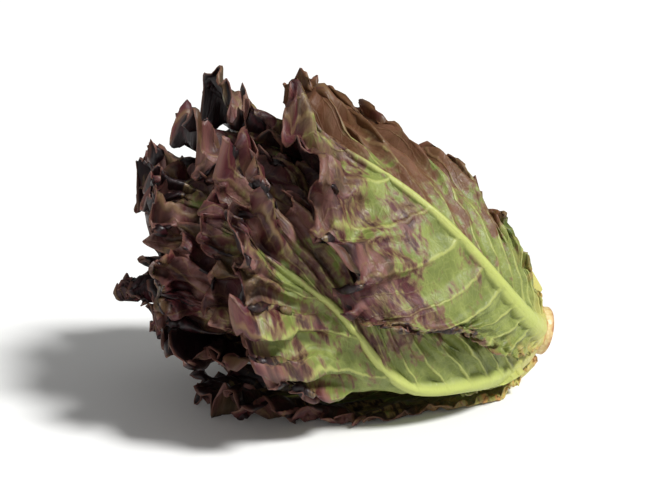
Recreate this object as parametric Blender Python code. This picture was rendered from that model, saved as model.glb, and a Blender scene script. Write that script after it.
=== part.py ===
"""Red leaf lettuce, a whole head as cut, lying on its side.

Metres, +Z up, resting on z = 0 under its own middle. The head lies along X: the cut butt
looks to +X and the frilled tips to -X. A short stem carries the leaves on a spiral. Each
leaf keeps to a layer of its own round the head's axis, and its frill fills only part of the
gap to the layers beside it, so leaves nest and never cross.
"""

import math

import bpy
import numpy as np

# the head
LEAF_COUNT = 15
HEAD_RADIUS = 0.113  # the outermost layer at its widest
BOWL_LENGTH = 0.150  # the head reaches its full width this far from the cut
BOWL_START = 0.004  # how far up the bowl's curve the cut lies
BOWL_ROUNDNESS = 2.4
BOWL_FULLNESS = 0.98
HEART_SHARE = 0.12  # the innermost layer's radius as a share of the outermost
MOUTH_START = 0.110  # where the inner layers begin to spread
MOUTH_LENGTH = 0.110
MOUTH_OPENING = 0.45  # how far they spread towards the tips
LOWEST_SPREAD = 0.18  # the lowest leaf lies spread out on the ground beside the head
AXIS_RISE = math.radians(13)  # the axis climbs from the butt to the wide mouth
BUTT_HEIGHT = 0.034  # the axis above the ground at the cut

# where the head's weight presses its layers together
GROUND_BLEND = 0.012  # how softly a layer turns from round to flat on the ground
GROUND_SHARE = 0.50  # the layers between axis and ground take this share of the height
CAVITY_SHARE = 0.20  # the hollow between the lowest leaf and the rest of the head
CAVITY_SLOPE = 0.7  # how fast that hollow opens towards the tips
SAG_SHARE = 0.15  # how far frills hang down into that hollow
LOW_POINTS = ((0.044, -0.002), (0.1645, -0.034), (0.1575, 0.037))  # from the cut, and sideways
LOW_POINT_REACH = 0.025
LOW_POINT_DEPTH = 0.0010

# the stem
STEM_RADIUS = 0.0155
STEM_LENGTH = 0.044
STEM_TIP_RADIUS = 0.0042
STEM_TAPER = 1.5
STEM_SIDES = 20
STEM_RINGS = 7
STEM_CLEARANCE = 0.0009

# the spiral of leaves, numbered from the outermost inwards
DIVERGENCE = math.radians(137.508)  # from each leaf to the next one in
LOWEST_LEAF_ANGLE = math.radians(-112)  # the outermost leaf lies under the head
TWIST_PER_METRE = math.radians(155)  # the leaves wind round the head as they rise
LEAN = {0: math.radians(24), 1: math.radians(-19), 3: math.radians(22)}  # pushed by the weight
MORE_TWIST = {0: math.radians(-150), 1: math.radians(178), 3: math.radians(120)}
SWAY = {3: math.radians(-11)}  # a midrib that bends aside
SWAY_PLACE = (0.05, 0.17)  # and where along the axis it does
OUTER_LEAVES = 5
MIDDLE_LEAVES = 5

# a leaf
REACH_OUTER = 0.204  # how far along the axis the outermost leaf's tip reaches
REACH_HEART = 0.277
REACH_BEND = 0.6
SHORTER = {0: -0.014, 1: 0.011, 3: -0.004}  # leaves that grew longer or stopped growing early
# halves that spread out, were squeezed or are folded under, near the stem and near the tip
SIDE_WIDTH = {(0, 1): (1.3, 1.3), (1, -1): (0.62, 1.45), (3, 1): (0.6, 0.6), (3, -1): (0.12, 0.8)}
SIDE_WIDTH_CHANGE = {1: (0.45, 0.85), 3: (0.30, 0.62)}  # where along the leaf the one turns into the other
WIDTH_SHARE = 0.38  # half the width of an outer leaf as a share of its length
HEART_WIDTH = 0.6  # the innermost leaf's width beside an outer leaf's
WIDEST_SHIFT = 1.5  # above 1 the blade is widest beyond its middle
TIP_ROUNDNESS = 0.92
HALF_ANGLE_BASE = 0.62  # radians that half a leaf wraps round the head near the stem
HALF_ANGLE_TOP = 1.12
MORE_WRAP = {1: 0.35}  # a leaf that spreads wider round the head
WRAP_LENGTH = 0.110
STALK_HALF_WIDTH = 0.0105
BLADE_THICKNESS = 0.0010

# the midrib, which stands out of the blade's outer face, or the inner one on the ground
RIB_SHARE = 0.84  # the midrib's share of the leaf's length
RIB_SPACING = 1.7  # side veins leave the midrib closer together near the base
RIB_HALF_WIDTH = 0.0084
RIB_TAPER = 0.90
RIB_HEIGHT = 0.0055
VEIN_SWEEP = 1.15  # side veins bend towards the tip

# the frill
FRILL_START = 0.34  # where between rib and margin the waves begin, at a leaf's sides
FRILL_START_TIP = 0.06
TIP_SHARE = 0.6  # the share of the margin that counts as the leaf's tip
BASE_FRILL = 0.22  # the share of the waves left where the blade meets its stalk
BASE_FADE = (0.85, 0.45)  # where round the margin the waves start and where they are full
EDGE_START = 0.55  # curls and lobes keep to the margin
LEAN_START = 0.35
LEAN_FADE = (0.8, 0.3)
FLARE = 0.8  # how far a margin leans towards the side with more room
WAVE_LENGTH = 0.031
WAVE_HEIGHT = 0.0160
CURL_LENGTH = 0.0165
CURL_HEIGHT = 0.0030
LOBE_LENGTH = 0.047
LOBE_DEPTH = 0.14
UNEVEN = 0.3  # waves, curls and lobes come closer together and further apart
UNEVEN_TURNS = (1.3, 2.2, 1.7)
SIDEWAYS_SWING = 0.0042
SWING_ROOM = 0.026  # the swing grows with the room there is
SWING_END = 0.1
MARGIN_PER_LENGTH = 1.15  # half of a blade's margin beside its length

# the room that a frill has
LAYER_SHARE = 0.30  # the least share of the gap to the next leaf that a frill may use
LAYER_GUARD = 0.0028  # what two frills leave between them where the gap is wide
OPEN_ROOM = 0.006  # the room where no other leaf covers the blade
MOUTH_ROOM = 0.026  # what the mouth adds to that
LEAST_ROOM = 1e-6
MARGIN_GUARD = 0.006  # a leaf's own frill may stray this far past its outline
MARGIN_FADE = 0.020

# the mesh of one leaf: rows run from the midrib to the margin, as side veins do
ROWS = 48
ROW_STEPS = (4, 4, 4, 2, 2, 1)  # every 4th row near the rib, and every row at the margin
COLUMN_PLACES = (0.0, 0.34, 0.6, 0.82, 1.0)  # shares of the way from the rib's edge to the margin
PROFILE_STEPS = 240
BEYOND = 0.999  # the share of the wrap at which a place counts as off the leaf

# colours, as linear red, green and blue
STEM_COLOUR = (0.60, 0.62, 0.30)
GREEN_COLOUR = (0.30, 0.34, 0.12)
RED_COLOUR = (0.10, 0.035, 0.035)
REDNESS = (0.35, 0.75)  # the least and the most red share of a leaf's colour
LEAF_ROUGHNESS = 0.45
STEM_ROUGHNESS = 0.55


def smooth(x):
    x = np.clip(x, 0.0, 1.0)
    return x * x * (3 - 2 * x)


def fade(x, start, end):
    """0 at the start and 1 at the end, with a soft step between them."""
    return smooth((x - start) / (end - start))


def soft_min(a, b, blend):
    return np.minimum(a, b) - np.maximum(blend - np.abs(a - b), 0) ** 2 / (4 * blend)


def envelope(t):
    """Radius of the outermost layer at the place t along the axis from the cut."""
    rise = np.clip((t + BOWL_START) / BOWL_LENGTH, 0.0, 1.0)
    return HEAD_RADIUS * (1 - (1 - rise) ** BOWL_ROUNDNESS) ** BOWL_FULLNESS


def stem_radius(t):
    taper = np.clip(t / STEM_LENGTH, 0.0, 1.0) ** STEM_TAPER
    return STEM_RADIUS + (STEM_TIP_RADIUS - STEM_RADIUS) * taper


def bark_radius(t):
    """What leaves keep clear of: the stem, and less and less beyond its tip."""
    beyond = smooth((t - STEM_LENGTH - STEM_TIP_RADIUS) / STEM_LENGTH)
    return (stem_radius(t) + STEM_CLEARANCE + BLADE_THICKNESS) * (1 - beyond)


def layer_share(k, t):
    """Radius of leaf k's layer as a share of the outermost one."""
    mouth = smooth((t - MOUTH_START) / MOUTH_LENGTH)
    if k == 0:
        return 1 + LOWEST_SPREAD * smooth(t / MOUTH_START)
    return 1 - (1 - HEART_SHARE) * (1 - MOUTH_OPENING * mouth) * k / (LEAF_COUNT - 1)


def ground_distance(angle, t):
    """How far from the axis a blade may go in that direction before it lies on the ground. Only
    its three low points touch the ground, and the rest of the blade stays a little above."""
    axis_height = BUTT_HEIGHT + t * math.sin(AXIS_RISE)
    down = np.maximum(-np.sin(angle) * math.cos(AXIS_RISE), 1e-3)
    sideways = -axis_height * np.cos(angle) / down
    touching = 0.0
    for low_t, low_side in LOW_POINTS:
        away = np.hypot(t - low_t, sideways - low_side) / LOW_POINT_REACH
        touching = touching + np.clip(1 - away, 0, 1)
    return (axis_height - BLADE_THICKNESS / 2 - LOW_POINT_DEPTH * (1 - touching)) / down


def layer_radius(k, angle, t):
    """Radius of leaf k's layer: round the axis, and flattened where the head lies on the ground."""
    squeeze = GROUND_SHARE * k / (LEAF_COUNT - 1)
    if k > 0:
        squeeze = squeeze + CAVITY_SHARE + CAVITY_SLOPE * t
    bark = bark_radius(t)
    free = np.maximum(layer_share(k, t) * envelope(t) - bark, 0)
    flattened = (ground_distance(angle, t) - bark) * (1 - squeeze)
    return bark + soft_min(free, flattened, np.minimum(GROUND_BLEND, np.maximum(free, 1e-4)))


def head_point(angle, t, r):
    """World place of a point of the head. Angle 0 looks to -Y, and 90 degrees looks up."""
    up = r * np.sin(angle)
    x = -t * math.cos(AXIS_RISE) + up * math.sin(AXIS_RISE)
    y = -r * np.cos(angle)
    z = BUTT_HEIGHT + t * math.sin(AXIS_RISE) + up * math.cos(AXIS_RISE)
    return np.stack([x, y, z], axis=-1)


class Leaf:
    """One leaf: its place on the spiral, its length and the outline of its flat blade.

    On the flat leaf x runs across from the midrib and y along it from the base.
    """

    def __init__(self, k):
        self.k = k
        self.inward = k / (LEAF_COUNT - 1)
        self.phases = np.random.default_rng(100 + k).uniform(0, 1, 6)
        self.angle = LOWEST_LEAF_ANGLE + k * DIVERGENCE + LEAN.get(k, 0.0)
        self.twist = TWIST_PER_METRE + MORE_TWIST.get(k, 0.0)
        t = np.linspace(0, self.reach(), PROFILE_STEPS)
        clear_of_stem = layer_share(k, t) * envelope(t) > bark_radius(t)
        self.start = t[np.argmax(clear_of_stem)]
        self.t = np.linspace(self.start, self.reach(), PROFILE_STEPS)
        steps = np.hypot(np.diff(self.t), np.diff(layer_share(k, self.t) * envelope(self.t)))
        self.s = np.concatenate([[0], np.cumsum(steps)])
        self.length = self.s[-1]
        self.half_width = WIDTH_SHARE * self.length * (1 - (1 - HEART_WIDTH) * self.inward**2)
        self.margins = {side: self.outline(np.linspace(0, 1, PROFILE_STEPS), side) for side in (-1, 1)}

    def reach(self):
        """The inner leaves stand further out than the old ones round them."""
        grown = (REACH_HEART - REACH_OUTER) * self.inward**REACH_BEND
        return REACH_OUTER + grown - SHORTER.get(self.k, 0.0)

    def outline(self, v, side):
        """The blade's margin on one side, from its base at v = 0 to its tip at v = 1."""
        along = (1 - np.cos(math.pi * v)) / 2
        near, far = SIDE_WIDTH.get((self.k, side), (1.0, 1.0))
        change = SIDE_WIDTH_CHANGE.get(self.k, (0, 1))
        half_width = self.half_width * (near + (far - near) * fade(along, *change))
        width = half_width * np.sin(math.pi * np.clip(v, 0, 1) ** WIDEST_SHIFT) ** TIP_ROUNDNESS
        return np.hypot(width, STALK_HALF_WIDTH * (1 - v)), self.length * along

    def rib_place(self, v):
        return RIB_SHARE * self.length * v**RIB_SPACING

    def rib_angle(self, t):
        """Angle of the midrib at the place t along the axis."""
        place = np.clip((t - SWAY_PLACE[0]) / (SWAY_PLACE[1] - SWAY_PLACE[0]), 0, 1)
        sway = SWAY.get(self.k, 0.0) * np.sin(math.pi * place) ** 2
        return self.angle + self.twist * t + sway

    def wrap(self, t):
        top = HALF_ANGLE_TOP + MORE_WRAP.get(self.k, 0.0)
        return HALF_ANGLE_BASE + (top - HALF_ANGLE_BASE) * smooth(t / WRAP_LENGTH)

    def to_head(self, x, y):
        """Angle and axial place on the head of the flat leaf's point (x, y)."""
        t = np.interp(y, self.s, self.t)
        r = layer_share(self.k, t) * envelope(t)
        most = self.wrap(t)
        return self.rib_angle(t) + most * np.tanh(x / (r * most)), t

    def coverage(self, angle, t):
        """1 where this leaf lies at that place of the head, fading to 0 beyond its margin."""
        y = np.interp(t, self.t, self.s)
        r = layer_share(self.k, t) * envelope(t)
        most = self.wrap(t)
        turn = (angle - self.rib_angle(t) + math.pi) % (2 * math.pi) - math.pi
        off = np.abs(turn)
        x = r * most * np.arctanh(np.clip(off / most, 0, BEYOND)) + r * np.maximum(off - BEYOND * most, 0)
        past_tip = np.maximum(t - self.t[-1], 0)
        gaps = {}
        for side, (margin_x, margin_y) in self.margins.items():
            widest = np.argmax(margin_x)
            side_gap = np.maximum(x - np.interp(y, margin_y, margin_x), 0)
            top = np.interp(-x, -margin_x[widest:], margin_y[widest:])
            top_gap = np.where(x > margin_x[widest], 1.0, np.maximum(y + past_tip - top, 0))
            gaps[side] = side_gap * top_gap / np.maximum(np.hypot(side_gap, top_gap), 1e-9)
        gap = np.maximum(np.where(turn > 0, gaps[1], gaps[-1]), np.maximum(self.start - t, past_tip))
        return 1 - smooth((gap - MARGIN_GUARD) / MARGIN_FADE)

    def ripple(self, length, n, sigma):
        """Turns of an uneven ripple round the margin. Each n has its own chance phases."""
        uneven = UNEVEN * np.sin(2 * math.pi * (UNEVEN_TURNS[n] * sigma + self.phases[2 * n]))
        turns = MARGIN_PER_LENGTH * self.length / length * sigma
        return 2 * math.pi * (turns + uneven + self.phases[2 * n + 1])

    def wave(self, sigma, u):
        """How far the blade waves out of its layer, how much it leans to the open side, how far
        it swings along its margin and what share of it is missing between two lobes. Sigma runs
        round the margin: -1 and 1 at the base, and 0 at the tip. U is 0 on the midrib and 1 at
        the margin."""
        along = np.abs(sigma)
        tip = smooth((TIP_SHARE - along) / TIP_SHARE)
        first = FRILL_START + (FRILL_START_TIP - FRILL_START) * tip
        grown = BASE_FRILL + (1 - BASE_FRILL) * fade(along, *BASE_FADE)
        deep = grown * fade(u, first, 1)
        edge = grown * fade(u, EDGE_START, 1)
        big = self.ripple(WAVE_LENGTH, 0, sigma)
        small = self.ripple(CURL_LENGTH, 1, sigma)
        lobe = self.ripple(LOBE_LENGTH, 2, sigma)
        out = WAVE_HEIGHT * deep * np.sin(big) + CURL_HEIGHT * edge * np.sin(small)
        lean = FLARE * fade(u, LEAN_START, 1) * fade(along, *LEAN_FADE)
        swing = -SIDEWAYS_SWING * deep * np.sin(2 * big)
        cut = LOBE_DEPTH * edge * (1 - np.cos(lobe)) / 2
        return out, lean, swing, cut


LEAVES = [Leaf(k) for k in range(LEAF_COUNT)]


def open_room(t):
    return OPEN_ROOM + MOUTH_ROOM * smooth((t - MOUTH_START) / MOUTH_LENGTH)


def frill_room(leaf, angle, t):
    """Radius of the leaf's layer, and how far the blade may stand out of it, outwards and
    inwards, and still clear the leaves beside it, the stem and the ground."""
    own = layer_radius(leaf.k, angle, t)
    most = open_room(t)
    sag = SAG_SHARE if leaf.k > 0 else 1.0
    outside = np.clip(sag * (ground_distance(angle, t) - own), LEAST_ROOM, most)
    inside = np.clip(LAYER_SHARE * (own - bark_radius(t)), LEAST_ROOM, most)
    for other in LEAVES:
        if other is leaf:
            continue
        gap = np.abs(layer_radius(other.k, angle, t) - own)
        room = np.maximum(LAYER_SHARE * gap, (gap - LAYER_GUARD) / 2)
        room = room + most * (1 - other.coverage(angle, t))
        if other.k < leaf.k:
            outside = np.minimum(outside, room)
        else:
            inside = np.minimum(inside, room)
    return own, outside, inside


def blade_grid(leaf, side):
    """Points of one half of the blade's middle surface, a row for each side vein, and how far
    the midrib swells there on the outer and on the inner face. Side is -1 or 1."""
    v = np.linspace(0, 1, ROWS + 1)[:, None]
    margin_x, margin_y = leaf.outline(v, side)
    rib_y = leaf.rib_place(v)
    rib_half = RIB_HALF_WIDTH * (1 - RIB_TAPER * v**0.7)
    rib_edge = np.clip(rib_half / np.maximum(margin_x, 1e-6), 0.02, 0.8)
    rib_edge[-1] = rib_edge[-2]
    places = np.array(COLUMN_PLACES)[None, :]
    u = np.hstack([np.zeros_like(v), rib_edge + (1 - rib_edge) * places])
    out, lean, swing, cut = leaf.wave(side * (1 - v), u)
    x = margin_x * u * (1 - cut)
    y = rib_y + (margin_y - rib_y) * u**VEIN_SWEEP * (1 - cut)
    own, outside, inside = frill_room(leaf, *leaf.to_head(side * x, y))
    swing = swing * np.clip((outside + inside) / SWING_ROOM, 0, 1)
    along_x = np.gradient(margin_x[:, 0])[:, None]
    along_y = np.gradient(margin_y[:, 0])[:, None]
    step = np.hypot(along_x, along_y)
    x = x + swing * smooth((1 - v) / SWING_END) * along_x / step
    y = np.clip(y + swing * along_y / step, 0, leaf.length)
    angle, t = leaf.to_head(side * x, y)
    own, outside, inside = frill_room(leaf, angle, t)
    out = out + lean * (outside - inside)
    room = np.where(out > 0, outside, inside)
    swell = RIB_HEIGHT * np.clip(1 - rib_y / (RIB_SHARE * leaf.length), 0, 1) ** 0.7
    swell = np.where(u == 0, swell, 0.0)
    outer_swell = np.minimum(swell, outside)
    inner_swell = np.minimum(swell - outer_swell, inside)
    return head_point(angle, t, own + room * np.tanh(out / room)), outer_swell, inner_swell


def strip_triangles(j):
    """Triangles between columns j and j + 1, as (row, column) corners."""
    near, far = ROW_STEPS[j], ROW_STEPS[j + 1]
    for i in range(0, ROWS, near):
        if near == far:
            yield (i, j), (i, j + 1), (i + near, j + 1)
            yield (i, j), (i + near, j + 1), (i + near, j)
        else:
            yield (i, j), (i, j + 1), (i + far, j + 1)
            yield (i, j), (i + far, j + 1), (i + near, j)
            yield (i + near, j), (i + far, j + 1), (i + near, j + 1)


def leaf_solid(leaf):
    """Vertices and triangles of the leaf. Both faces are split alike and joined by a rim."""
    index, points, swells, faces = {}, [], [], []
    for side in (-1, 1):
        grid, outer_swell, inner_swell = blade_grid(leaf, side)
        for j in range(len(ROW_STEPS) - 1):
            for triangle in strip_triangles(j):
                corners = []
                for i, column in triangle:
                    shared = column == 0 or i == ROWS
                    key = (0 if shared else side, i, column)
                    if key not in index:
                        index[key] = len(points)
                        points.append(grid[i, column])
                        swells.append((outer_swell[i, column], inner_swell[i, column]))
                    corners.append(index[key])
                faces.append(corners if side > 0 else corners[::-1])
    points = np.array(points)
    faces = np.array(faces)
    normals = vertex_normals(points, faces)
    heights = BLADE_THICKNESS / 2 + np.array(swells)
    outer = points + normals * heights[:, :1]
    inner = points - normals * heights[:, 1:]
    return closed_shell(outer, inner, faces)


def vertex_normals(points, faces):
    corners = points[faces]
    flat = np.cross(corners[:, 1] - corners[:, 0], corners[:, 2] - corners[:, 0])
    normals = np.zeros_like(points)
    for c in range(3):
        np.add.at(normals, faces[:, c], flat)
    return normals / np.linalg.norm(normals, axis=1, keepdims=True)


def closed_shell(outer, inner, faces):
    count = len(outer)
    edges = np.concatenate([faces[:, [0, 1]], faces[:, [1, 2]], faces[:, [2, 0]]])
    twins = {(a, b) for a, b in edges}
    rim = []
    for a, b in edges:
        if (b, a) not in twins:
            rim += [(b, a, a + count), (b, a + count, b + count)]
    solid = np.concatenate([faces, faces[:, ::-1] + count, np.array(rim)])
    return np.concatenate([outer, inner]), solid


def stem_solid():
    """The short stem: a turned shape, cut flat at the butt and pointed at the growing tip."""
    t = np.linspace(0, STEM_LENGTH, STEM_RINGS)
    turn = np.linspace(0, 2 * math.pi, STEM_SIDES, endpoint=False)
    angle, t = np.meshgrid(turn, t)
    points = head_point(angle, t, stem_radius(t)).reshape(-1, 3)
    ends = head_point(np.zeros(2), np.array([0, STEM_LENGTH + STEM_TIP_RADIUS / 2]), np.zeros(2))
    butt, tip = len(points), len(points) + 1
    faces = []
    for ring in range(STEM_RINGS - 1):
        for n in range(STEM_SIDES):
            a = ring * STEM_SIDES + n
            b = ring * STEM_SIDES + (n + 1) % STEM_SIDES
            faces += [(a, b, b + STEM_SIDES), (a, b + STEM_SIDES, a + STEM_SIDES)]
    last = (STEM_RINGS - 1) * STEM_SIDES
    for n in range(STEM_SIDES):
        follow = (n + 1) % STEM_SIDES
        faces += [(butt, follow, n), (tip, last + n, last + follow)]
    return np.concatenate([points, ends]), np.array(faces)


def facing_out(points, faces):
    corners = points[faces]
    volume = np.einsum("ij,ij->i", corners[:, 0], np.cross(corners[:, 1], corners[:, 2])).sum()
    return faces if volume > 0 else faces[:, ::-1]


def leaf_name(k):
    if k < OUTER_LEAVES:
        return f"outer_leaf_{k + 1:02d}"
    if k < OUTER_LEAVES + MIDDLE_LEAVES:
        return f"middle_leaf_{k + 1:02d}"
    return f"heart_leaf_{k + 1:02d}"


def material(name, colour, roughness):
    made = bpy.data.materials.new(name)
    made.use_nodes = True
    shader = made.node_tree.nodes["Principled BSDF"]
    shader.inputs["Base Color"].default_value = (*colour, 1.0)
    shader.inputs["Roughness"].default_value = roughness
    shader.inputs["Metallic"].default_value = 0.0
    made.diffuse_color = (*colour, 1.0)
    return made


def leaf_material(leaf):
    """Green mixed with red, more or less of it by chance."""
    red = REDNESS[0] + (REDNESS[1] - REDNESS[0]) * leaf.phases[0]
    colour = [(1 - red) * g + red * r for g, r in zip(GREEN_COLOUR, RED_COLOUR)]
    return material(leaf_name(leaf.k), colour, LEAF_ROUGHNESS)


def add_object(name, points, faces, surface, sharp_above):
    mesh = bpy.data.meshes.new(name)
    mesh.from_pydata(points.tolist(), [], facing_out(points, faces).tolist())
    mesh.shade_smooth()
    mesh.set_sharp_from_angle(angle=sharp_above)
    mesh.materials.append(surface)
    made = bpy.data.objects.new(name, mesh)
    bpy.context.scene.collection.objects.link(made)


def clear_scene():
    for old in list(bpy.data.objects):
        bpy.data.objects.remove(old, do_unlink=True)


def main():
    clear_scene()
    stem_points, stem_faces = stem_solid()
    solids = [leaf_solid(leaf) for leaf in LEAVES]
    every_point = np.concatenate([stem_points] + [points for points, _ in solids])
    low, high = every_point.min(axis=0), every_point.max(axis=0)
    ground_centre = np.array([(low[0] + high[0]) / 2, (low[1] + high[1]) / 2, low[2]])
    stem_surface = material("stem", STEM_COLOUR, STEM_ROUGHNESS)
    add_object("stem", stem_points - ground_centre, stem_faces, stem_surface, math.radians(50))
    for leaf, (points, faces) in zip(LEAVES, solids):
        surface = leaf_material(leaf)
        add_object(leaf_name(leaf.k), points - ground_centre, faces, surface, math.radians(70))


main()
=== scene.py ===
# %% [markdown]
# Red leaf lettuce: a whole head as cut, lying on its side. It is one short stem with fifteen
# big soft leaves on it, oldest outside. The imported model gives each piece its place. This
# script remakes each piece finer: midribs, side veins, puckers and small curls in the margin,
# and the colours of a living leaf.

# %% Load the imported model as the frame
import math
from functools import partial

import bpy
import numpy as np
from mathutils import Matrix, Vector


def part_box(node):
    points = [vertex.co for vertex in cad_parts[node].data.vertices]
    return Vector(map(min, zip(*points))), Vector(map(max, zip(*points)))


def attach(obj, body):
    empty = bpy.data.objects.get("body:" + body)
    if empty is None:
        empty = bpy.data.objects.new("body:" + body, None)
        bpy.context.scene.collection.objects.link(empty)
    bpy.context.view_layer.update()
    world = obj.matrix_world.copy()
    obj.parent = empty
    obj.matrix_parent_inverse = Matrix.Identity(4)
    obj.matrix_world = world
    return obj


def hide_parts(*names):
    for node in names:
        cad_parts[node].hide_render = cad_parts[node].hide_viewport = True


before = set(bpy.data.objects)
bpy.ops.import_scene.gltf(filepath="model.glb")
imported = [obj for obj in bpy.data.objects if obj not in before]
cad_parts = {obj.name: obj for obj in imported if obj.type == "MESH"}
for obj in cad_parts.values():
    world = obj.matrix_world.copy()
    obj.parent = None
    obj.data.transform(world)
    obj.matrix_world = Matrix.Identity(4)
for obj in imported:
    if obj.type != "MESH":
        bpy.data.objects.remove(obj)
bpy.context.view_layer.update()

# %% [markdown]
# The shape of the head. Every leaf of the real plant presses against its neighbours, so the
# leaves lie like the layers of an onion. A place on the head is an angle round the axis, a
# distance t along it from the cut, and a radius. These are the same named sizes as in the
# solids, because a finer leaf has to lie where its solid lies.

# %% Layers of the head
LEAF_COUNT = 15
HEAD_RADIUS = 0.113
BOWL_LENGTH = 0.150
BOWL_START = 0.004
BOWL_ROUNDNESS = 2.4
BOWL_FULLNESS = 0.98
HEART_SHARE = 0.12
MOUTH_START = 0.110
MOUTH_LENGTH = 0.110
MOUTH_OPENING = 0.45
LOWEST_SPREAD = 0.18
AXIS_RISE = math.radians(13)
BUTT_HEIGHT = 0.034
GROUND_BLEND = 0.012
GROUND_SHARE = 0.50
CAVITY_SHARE = 0.20
CAVITY_SLOPE = 0.7
SAG_SHARE = 0.15
LOW_POINTS = ((0.044, -0.002), (0.1645, -0.034), (0.1575, 0.037))
LOW_POINT_REACH = 0.025
LOW_POINT_DEPTH = 0.0010
STEM_RADIUS = 0.0155
STEM_LENGTH = 0.044
STEM_TIP_RADIUS = 0.0042
STEM_TAPER = 1.5
STEM_CLEARANCE = 0.0009
BLADE_THICKNESS = 0.0010


def smooth(x):
    x = np.clip(x, 0.0, 1.0)
    return x * x * (3 - 2 * x)


def fade(x, start, end):
    """0 at the start and 1 at the end, with a soft step between them."""
    return smooth((x - start) / (end - start))


def soft_min(a, b, blend):
    return np.minimum(a, b) - np.maximum(blend - np.abs(a - b), 0) ** 2 / (4 * blend)


def envelope(t):
    rise = np.clip((t + BOWL_START) / BOWL_LENGTH, 0.0, 1.0)
    return HEAD_RADIUS * (1 - (1 - rise) ** BOWL_ROUNDNESS) ** BOWL_FULLNESS


def stem_radius(t):
    taper = np.clip(t / STEM_LENGTH, 0.0, 1.0) ** STEM_TAPER
    return STEM_RADIUS + (STEM_TIP_RADIUS - STEM_RADIUS) * taper


def bark_radius(t):
    beyond = smooth((t - STEM_LENGTH - STEM_TIP_RADIUS) / STEM_LENGTH)
    return (stem_radius(t) + STEM_CLEARANCE + BLADE_THICKNESS) * (1 - beyond)


def layer_share(k, t):
    """Radius of leaf k's layer as a share of the outermost one."""
    mouth = smooth((t - MOUTH_START) / MOUTH_LENGTH)
    if k == 0:
        return 1 + LOWEST_SPREAD * smooth(t / MOUTH_START)
    return 1 - (1 - HEART_SHARE) * (1 - MOUTH_OPENING * mouth) * k / (LEAF_COUNT - 1)


def ground_distance(angle, t):
    """How far a blade may go in that direction. Only its three low points touch the ground."""
    axis_height = BUTT_HEIGHT + t * math.sin(AXIS_RISE)
    down = np.maximum(-np.sin(angle) * math.cos(AXIS_RISE), 1e-3)
    sideways = -axis_height * np.cos(angle) / down
    touching = 0.0
    for low_t, low_side in LOW_POINTS:
        away = np.hypot(t - low_t, sideways - low_side) / LOW_POINT_REACH
        touching = touching + np.clip(1 - away, 0, 1)
    return (axis_height - BLADE_THICKNESS / 2 - LOW_POINT_DEPTH * (1 - touching)) / down


def layer_radius(k, angle, t):
    """Round the axis, and flattened where the head lies on the ground."""
    squeeze = GROUND_SHARE * k / (LEAF_COUNT - 1)
    if k > 0:
        squeeze = squeeze + CAVITY_SHARE + CAVITY_SLOPE * t
    bark = bark_radius(t)
    free = np.maximum(layer_share(k, t) * envelope(t) - bark, 0)
    flattened = (ground_distance(angle, t) - bark) * (1 - squeeze)
    return bark + soft_min(free, flattened, np.minimum(GROUND_BLEND, np.maximum(free, 1e-4)))


def head_point(angle, t, r):
    """Place of a point of the head. Angle 0 looks to -Y, and 90 degrees looks up."""
    up = r * np.sin(angle)
    x = -t * math.cos(AXIS_RISE) + up * math.sin(AXIS_RISE)
    y = -r * np.cos(angle)
    z = BUTT_HEIGHT + t * math.sin(AXIS_RISE) + up * math.cos(AXIS_RISE)
    return np.stack([x, y, z], axis=-1)


print("widest layer", round(2000 * HEAD_RADIUS), "mm across")

# %% [markdown]
# One leaf, laid flat: a narrow stalk, a blade that is widest beyond its middle, and a rounded
# tip. The plant sets each new leaf 137.5 degrees round from the last, so no leaf shades the
# next. The flat leaf is rolled onto its layer, and winds a little round the head as it rises.

# %% The leaves and their outlines
DIVERGENCE = math.radians(137.508)
LOWEST_LEAF_ANGLE = math.radians(-112)
TWIST_PER_METRE = math.radians(155)
LEAN = {0: math.radians(24), 1: math.radians(-19), 3: math.radians(22)}
MORE_TWIST = {0: math.radians(-150), 1: math.radians(178), 3: math.radians(120)}
SWAY = {3: math.radians(-11)}
SWAY_PLACE = (0.05, 0.17)
OUTER_LEAVES = 5
MIDDLE_LEAVES = 5
REACH_OUTER = 0.204
REACH_HEART = 0.277
REACH_BEND = 0.6
SHORTER = {0: -0.014, 1: 0.011, 3: -0.004}
SIDE_WIDTH = {(0, 1): (1.3, 1.3), (1, -1): (0.62, 1.45), (3, 1): (0.6, 0.6), (3, -1): (0.12, 0.8)}
SIDE_WIDTH_CHANGE = {1: (0.45, 0.85), 3: (0.30, 0.62)}
WIDTH_SHARE = 0.38
HEART_WIDTH = 0.6
WIDEST_SHIFT = 1.5
TIP_ROUNDNESS = 0.92
HALF_ANGLE_BASE = 0.62
HALF_ANGLE_TOP = 1.12
MORE_WRAP = {1: 0.35}  # a leaf that spreads wider round the head
WRAP_LENGTH = 0.110
STALK_HALF_WIDTH = 0.0105
RIB_SHARE = 0.84
RIB_SPACING = 1.7
MARGIN_GUARD = 0.006
MARGIN_FADE = 0.020
PROFILE_STEPS = 240
BEYOND = 0.999


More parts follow.
